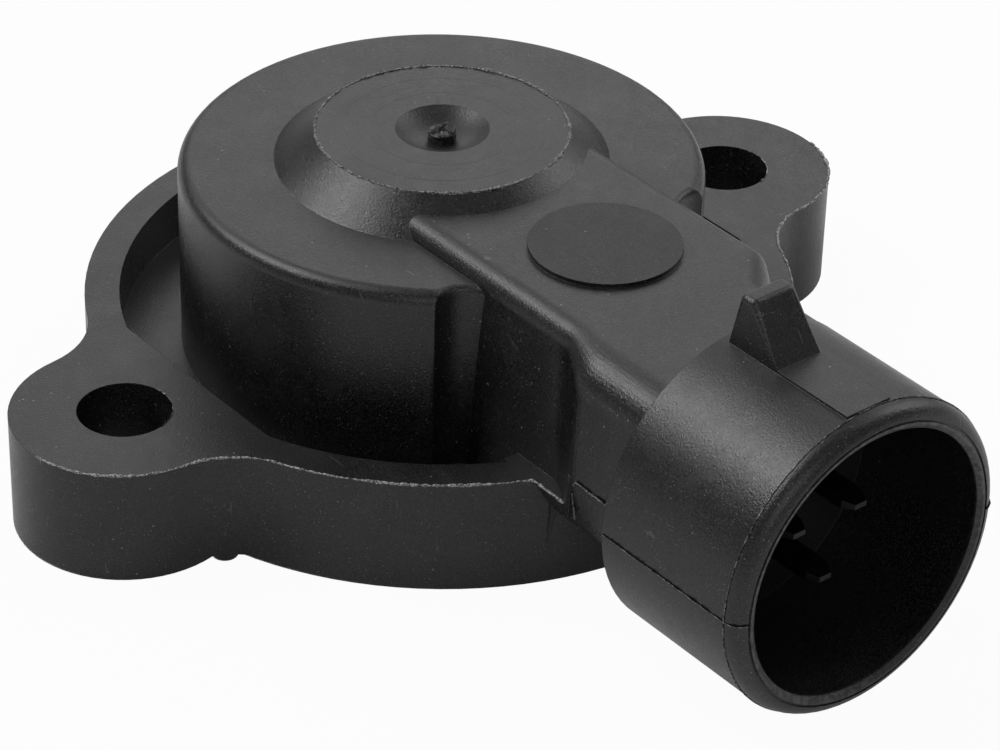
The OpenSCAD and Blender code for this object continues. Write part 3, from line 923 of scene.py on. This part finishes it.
@dataclass
class Studio:
    """Pale floor, soft light and the camera of the photograph.

    Args:
        lens: focal length for a sensor 36 mm wide.
        place: the camera's place, in millimetres.
        azimuth: the camera's direction round the object, in degrees.
        elevation: its height above the horizon, in degrees.
        roll: its turn about its own axis, in degrees.
        under: the radius of the floor that the round body hides, in millimetres.
        contact: how close a face is that lies on the floor.
        drop: how far the floor lies below the object, in millimetres.
        albedo: the share of light that the floor sends back.
        floor_glow: the share of plain white in the floor, where the camera and where a mirror sees it.
        sky_glow: the world's strength, where the camera and where a mirror sees it.
        fill: the world's strength elsewhere.
        aim: what the lamps face, in metres.
        lamps: the lamps.
    """

    lens: float = 139.514
    place: tuple = (-118.688, -148.950, 126.192)
    azimuth: float = -39.64
    elevation: float = 33.41
    roll: float = 1.526
    under: float = 20.2
    contact: float = 0.15
    drop: float = 0.02
    albedo: float = 0.68
    floor_glow: tuple = (0.96, 0.15)
    sky_glow: tuple = (1.0, 0.22)
    fill: float = 0.24
    aim: tuple = (0.0, -0.008, 0.008)
    lamps: tuple = (
        Lamp("back_left", (-0.32, 0.43, 0.66), (0.55, 0.4), 5.4),
        Lamp("back_right", (0.62, 0.76, 0.55), (0.8, 0.6), 1.36),
        Lamp("right", (0.81, -0.1, 0.59), (0.6, 0.6), 2.1),
        Lamp("front", (-0.5, -0.85, 0.62), (0.8, 0.5), 0.9),
        Lamp("below", (-0.15, 0.3, -0.75), (1.0, 1.0), 2.4),
    )

    def camera(self) -> None:
        """Puts the camera where the photograph was taken."""
        a, e, r = (math.radians(v) for v in (self.azimuth, self.elevation, self.roll))
        back = Vector((math.sin(a) * math.cos(e), -math.cos(a) * math.cos(e), math.sin(e)))
        right = Vector((math.cos(a), math.sin(a), 0.0))
        up = back.cross(right)
        across = right * math.cos(r) + up * math.sin(r)
        above = up * math.cos(r) - right * math.sin(r)
        data = bpy.data.cameras.new("camera")
        data.lens = self.lens
        data.sensor_width = 36.0
        data.clip_start, data.clip_end = 0.01, 20.0
        camera = bpy.data.objects.new("camera", data)
        turn = Matrix((across, above, back)).transposed().to_4x4()
        camera.matrix_world = Matrix.Translation(Vector(self.place) * MM) @ turn
        bpy.context.scene.collection.objects.link(camera)
        bpy.context.scene.camera = camera

    def hang(self, lamp: Lamp) -> None:
        """Adds a lamp that faces the object."""
        data = bpy.data.lights.new(lamp.name, "AREA")
        data.shape = "RECTANGLE"
        data.size, data.size_y = lamp.size
        data.energy = lamp.radiance * math.pi * lamp.size[0] * lamp.size[1]
        light = bpy.data.objects.new(lamp.name, data)
        light.location = lamp.place
        light.rotation_euler = (Vector(self.aim) - Vector(lamp.place)).to_track_quat("-Z", "Y").to_euler()
        light.visible_camera = False
        bpy.context.scene.collection.objects.link(light)

    def seen(self, tree: bpy.types.NodeTree, shown: tuple) -> bpy.types.NodeSocket:
        """Tells the rays that show the background from those that only light the object.

        Args:
            tree: the node tree of the floor or of the world.
            shown: the result for a camera ray, and that for a glossy or transmission ray, because metal
                shows the background too.

        Returns:
            That result, and 0 for any other ray.
        """
        path = tree.nodes.new("ShaderNodeLightPath")
        plain, mirrored = shown
        share = None
        for kind, value in (("Is Camera Ray", plain), ("Is Glossy Ray", mirrored), ("Is Transmission Ray", mirrored)):
            scaled = tree.nodes.new("ShaderNodeMath")
            scaled.operation = "MULTIPLY"
            scaled.inputs[1].default_value = value
            tree.links.new(path.outputs[kind], scaled.inputs[0])
            share = scaled.outputs[0] if share is None else self.larger(tree, share, scaled.outputs[0])
        return share

    def larger(self, tree: bpy.types.NodeTree, first: object, second: object) -> bpy.types.NodeSocket:
        """The larger of two values.

        Args:
            tree: the node tree.
            first: a socket.
            second: a socket or a number.

        Returns:
            The result's socket.
        """
        node = tree.nodes.new("ShaderNodeMath")
        node.operation = "MAXIMUM"
        tree.links.new(first, node.inputs[0])
        if isinstance(second, float):
            node.inputs[1].default_value = second
        else:
            tree.links.new(second, node.inputs[1])
        return node.outputs[0]

    def below(self, tree: bpy.types.NodeTree) -> bpy.types.NodeSocket:
        """Finds the rays that pass through the floor, so that the object's underside isn't in the dark.

        Args:
            tree: the floor's node tree.

        Returns:
            1 for a ray from below, under the object's round body or straight from a face that lies on the floor.
        """
        path, place = tree.nodes.new("ShaderNodeLightPath"), tree.nodes.new("ShaderNodeNewGeometry")
        apart = tree.nodes.new("ShaderNodeVectorMath")
        apart.operation = "LENGTH"
        tree.links.new(place.outputs["Position"], apart.inputs[0])
        passed = place.outputs["Backfacing"]
        for value, limit in ((apart.outputs["Value"], self.under), (path.outputs["Ray Length"], self.contact)):
            short = tree.nodes.new("ShaderNodeMath")
            short.operation = "LESS_THAN"
            short.inputs[1].default_value = limit * MM
            tree.links.new(value, short.inputs[0])
            passed = self.larger(tree, passed, short.outputs[0])
        return passed

    def floor(self) -> None:
        """Lays a pale floor that keeps the object's shadow and is clear from below."""
        mesh = bmesh.new()
        bmesh.ops.create_grid(mesh, x_segments=1, y_segments=1, size=3.0)
        data = bpy.data.meshes.new("floor")
        mesh.to_mesh(data)
        mesh.free()
        material = bpy.data.materials.new("pale_floor")
        material.use_nodes = True
        nodes, links = material.node_tree.nodes, material.node_tree.links
        nodes.clear()
        diffuse = nodes.new("ShaderNodeBsdfDiffuse")
        diffuse.inputs["Color"].default_value = (self.albedo, self.albedo, self.albedo, 1.0)
        glow = nodes.new("ShaderNodeEmission")
        clear = nodes.new("ShaderNodeBsdfTransparent")
        mixed = nodes.new("ShaderNodeMixShader")
        sided = nodes.new("ShaderNodeMixShader")
        out = nodes.new("ShaderNodeOutputMaterial")
        links.new(self.seen(material.node_tree, self.floor_glow), mixed.inputs[0])
        links.new(diffuse.outputs[0], mixed.inputs[1])
        links.new(glow.outputs[0], mixed.inputs[2])
        links.new(self.below(material.node_tree), sided.inputs[0])
        links.new(mixed.outputs[0], sided.inputs[1])
        links.new(clear.outputs[0], sided.inputs[2])
        links.new(sided.outputs[0], out.inputs[0])
        data.materials.append(material)
        floor = bpy.data.objects.new("floor", data)
        floor.location.z = -self.drop * MM
        bpy.context.scene.collection.objects.link(floor)

    def sky(self) -> None:
        """Sets the world: white where it is seen, softer where it is mirrored, and a fill to everything else."""
        world = bpy.data.worlds.new("studio")
        bpy.context.scene.world = world
        world.use_nodes = True
        nodes, links = world.node_tree.nodes, world.node_tree.links
        shade = nodes["Background"]
        strength = self.larger(world.node_tree, self.seen(world.node_tree, self.sky_glow), self.fill)
        links.new(strength, shade.inputs["Strength"])
        shade.inputs["Color"].default_value = (1.0, 1.0, 1.0, 1.0)

    def build(self) -> None:
        """Sets up the whole studio."""
        self.camera()
        self.floor()
        self.sky()
        for lamp in self.lamps:
            self.hang(lamp)
        bpy.context.scene.view_settings.view_transform = "Standard"


def main() -> None:
    """Builds each sub-assembly in order."""
    logging.basicConfig(level=logging.INFO, format="%(name)s: %(message)s")
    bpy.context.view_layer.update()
    for assembly in (Studio(), Housing(), Terminals(), Track(), Closure(), Rotor()):
        assembly.build()
        log.info("%s done", type(assembly).__name__)


if __name__ == "__main__":
    main()
